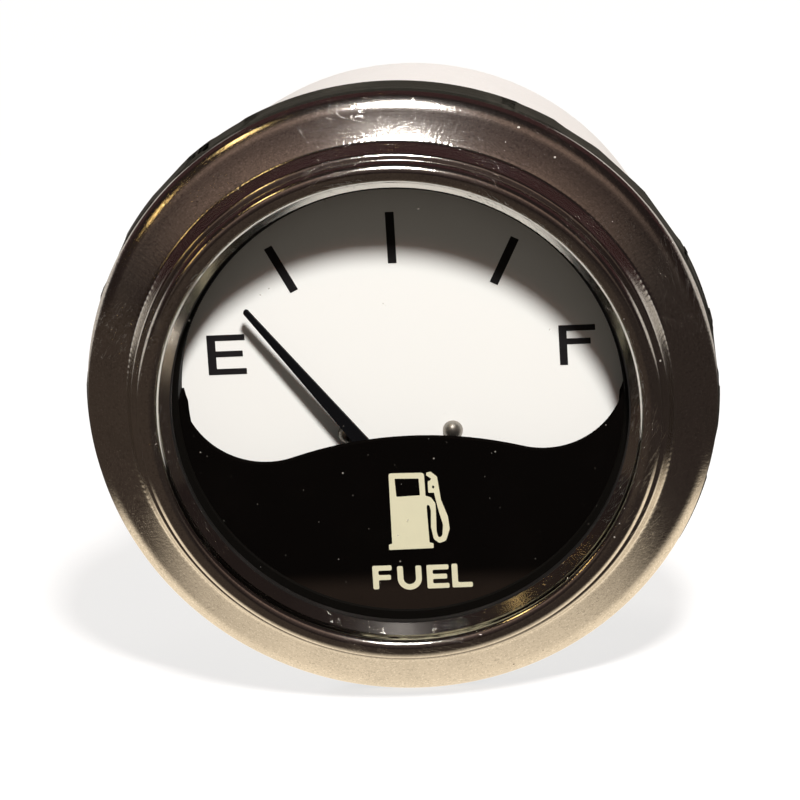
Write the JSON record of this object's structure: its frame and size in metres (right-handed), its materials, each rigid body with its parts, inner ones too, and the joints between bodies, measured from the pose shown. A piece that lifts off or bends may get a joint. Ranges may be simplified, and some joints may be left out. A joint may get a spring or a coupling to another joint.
{
  "type": "fuel gauge",
  "caption": "Round panel-mounted electric fuel gauge with a stepped bright bezel, glass, white dial, black lower mask and swinging pointer.",
  "frame": {"origin": "on the barrel's axis, in the plane where the panel gasket meets the panel", "axes": "-Y out of the dial towards the viewer, +Y back through the panel, +Z to 12 o'clock, +X to the viewer's right"},
  "size_m": [0.0624, 0.0496, 0.0624],
  "materials": {
    "bezel_metal": "spun and polished bright metal, satin across the outer band, worn",
    "clear_glass": "clear, flat",
    "seal_rubber": "matt black",
    "black_ring": "satin black paint",
    "mask_black": "satin black with cream print",
    "dial_white": "matt white paint with black print",
    "rivet_paint": "dulled light metal",
    "gasket_rubber": "matt black, cut edge",
    "case_plate": "zinc plated, satin",
    "pointer_black": "matt black paint",
    "bright_steel": "turned, bright",
    "soft_iron": "annealed grey",
    "movement_brass": "stamped, dull",
    "copper_wire": "enamelled copper wire",
    "bobbin_resin": "brown moulded resin",
    "insulator_board": "brown laminated board",
    "stud_brass": "turned and threaded",
    "bulb_glass": "clear"
  },
  "bodies": {
    "gauge": {"bezel": "bezel_metal", "lens_seal": "seal_rubber", "lens": "clear_glass", "spacer_ring": "black_ring", "dial_mask": "mask_black", "dial_rivets": "rivet_paint", "dial_plate": "dial_white", "panel_gasket": "gasket_rubber", "case_cup": "case_plate", "bearing_bridge": "movement_brass", "front_bearing": "stud_brass", "rear_bearing": "stud_brass", "bridge_pillars": "bright_steel", "bridge_screws": "bright_steel", "stop_pins": "bright_steel", "movement_frame": "movement_brass", "frame_spacers": "bright_steel", "frame_screws": "bright_steel", "pole_core_left": "soft_iron", "pole_core_right": "soft_iron", "bobbin_left": "bobbin_resin", "bobbin_right": "bobbin_resin", "winding_left": "copper_wire", "winding_right": "copper_wire", "coil_leads": "copper_wire", "yoke_left": "soft_iron", "yoke_right": "soft_iron", "terminal_studs": "stud_brass", "inner_insulator": "insulator_board", "outer_insulator": "insulator_board", "terminal_washers": "bright_steel", "terminal_nuts": "stud_brass", "clamp_studs": "bright_steel", "lamp_tube": "case_plate"},
    "pointer_group": {"pointer": "pointer_black", "pointer_hub": "pointer_black", "spindle": "bright_steel", "armature": "soft_iron", "balance_arm": "movement_brass"},
    "lamp_group": {"lamp_holder": "movement_brass", "lamp_insulator": "insulator_board", "lamp_contact": "stud_brass", "bulb_cap": "movement_brass", "bulb_glass": "bulb_glass"}
  },
  "joints": [
    {"name": "pointer_swing", "type": "hinge", "parent": "gauge", "child": "pointer_group", "pos_m": [0, -0.0032, -0.0103], "axis": [0, 1, 0], "range_deg": [-17.8, 92.2]},
    {"name": "lamp_pull", "type": "slide", "parent": "gauge", "child": "lamp_group", "axis": [0, 1, 0], "range_m": [0, 0.022]}
  ]
}
